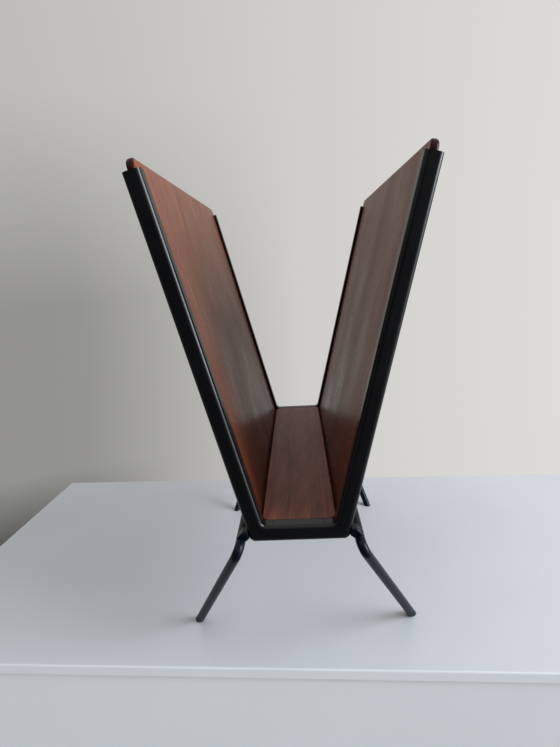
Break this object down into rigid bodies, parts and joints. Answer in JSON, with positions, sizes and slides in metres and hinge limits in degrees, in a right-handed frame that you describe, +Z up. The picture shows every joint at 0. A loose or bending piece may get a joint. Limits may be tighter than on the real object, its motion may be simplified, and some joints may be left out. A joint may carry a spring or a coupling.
{
  "type": "magazine rack",
  "caption": "Free-standing magazine rack: two veneered plywood sides in a V over a plywood bottom board, black steel channel end frames and bent tube legs.",
  "frame": {"origin": "on the floor, midway between the four feet, which is the bottom centre of the bounding box", "axes": "+Z up, +Y along the rack from the front end frame to the rear one, +X to the right seen from the front end"},
  "size_m": [0.2784, 0.467, 0.5202],
  "materials": {
    "side_veneer": "satin lacquer over dark teak veneer, grain up the panel",
    "board_veneer": "satin lacquer over dark teak veneer, grain along the board",
    "frame_lacquer": "semi-gloss black lacquer on steel channel",
    "leg_lacquer": "satin black lacquer on steel tube",
    "glide_plastic": "matte black plastic",
    "screw_steel": "dulled steel, slotted heads"
  },
  "bodies": {
    "root": {"front_left_upright": "frame_lacquer", "front_right_upright": "frame_lacquer", "rear_left_upright": "frame_lacquer", "rear_right_upright": "frame_lacquer", "front_crossbar": "frame_lacquer", "rear_crossbar": "frame_lacquer", "front_board_bracket": "frame_lacquer", "rear_board_bracket": "frame_lacquer", "front_left_lug": "leg_lacquer", "front_right_lug": "leg_lacquer", "rear_left_lug": "leg_lacquer", "rear_right_lug": "leg_lacquer", "left_leg_tube": "leg_lacquer", "right_leg_tube": "leg_lacquer", "front_left_glide": "glide_plastic", "front_right_glide": "glide_plastic", "rear_left_glide": "glide_plastic", "rear_right_glide": "glide_plastic", "left_side_panel": "side_veneer", "right_side_panel": "side_veneer", "bottom_board": "board_veneer", "board_screws": "screw_steel", "panel_screws": "screw_steel"}
  },
  "joints": []
}
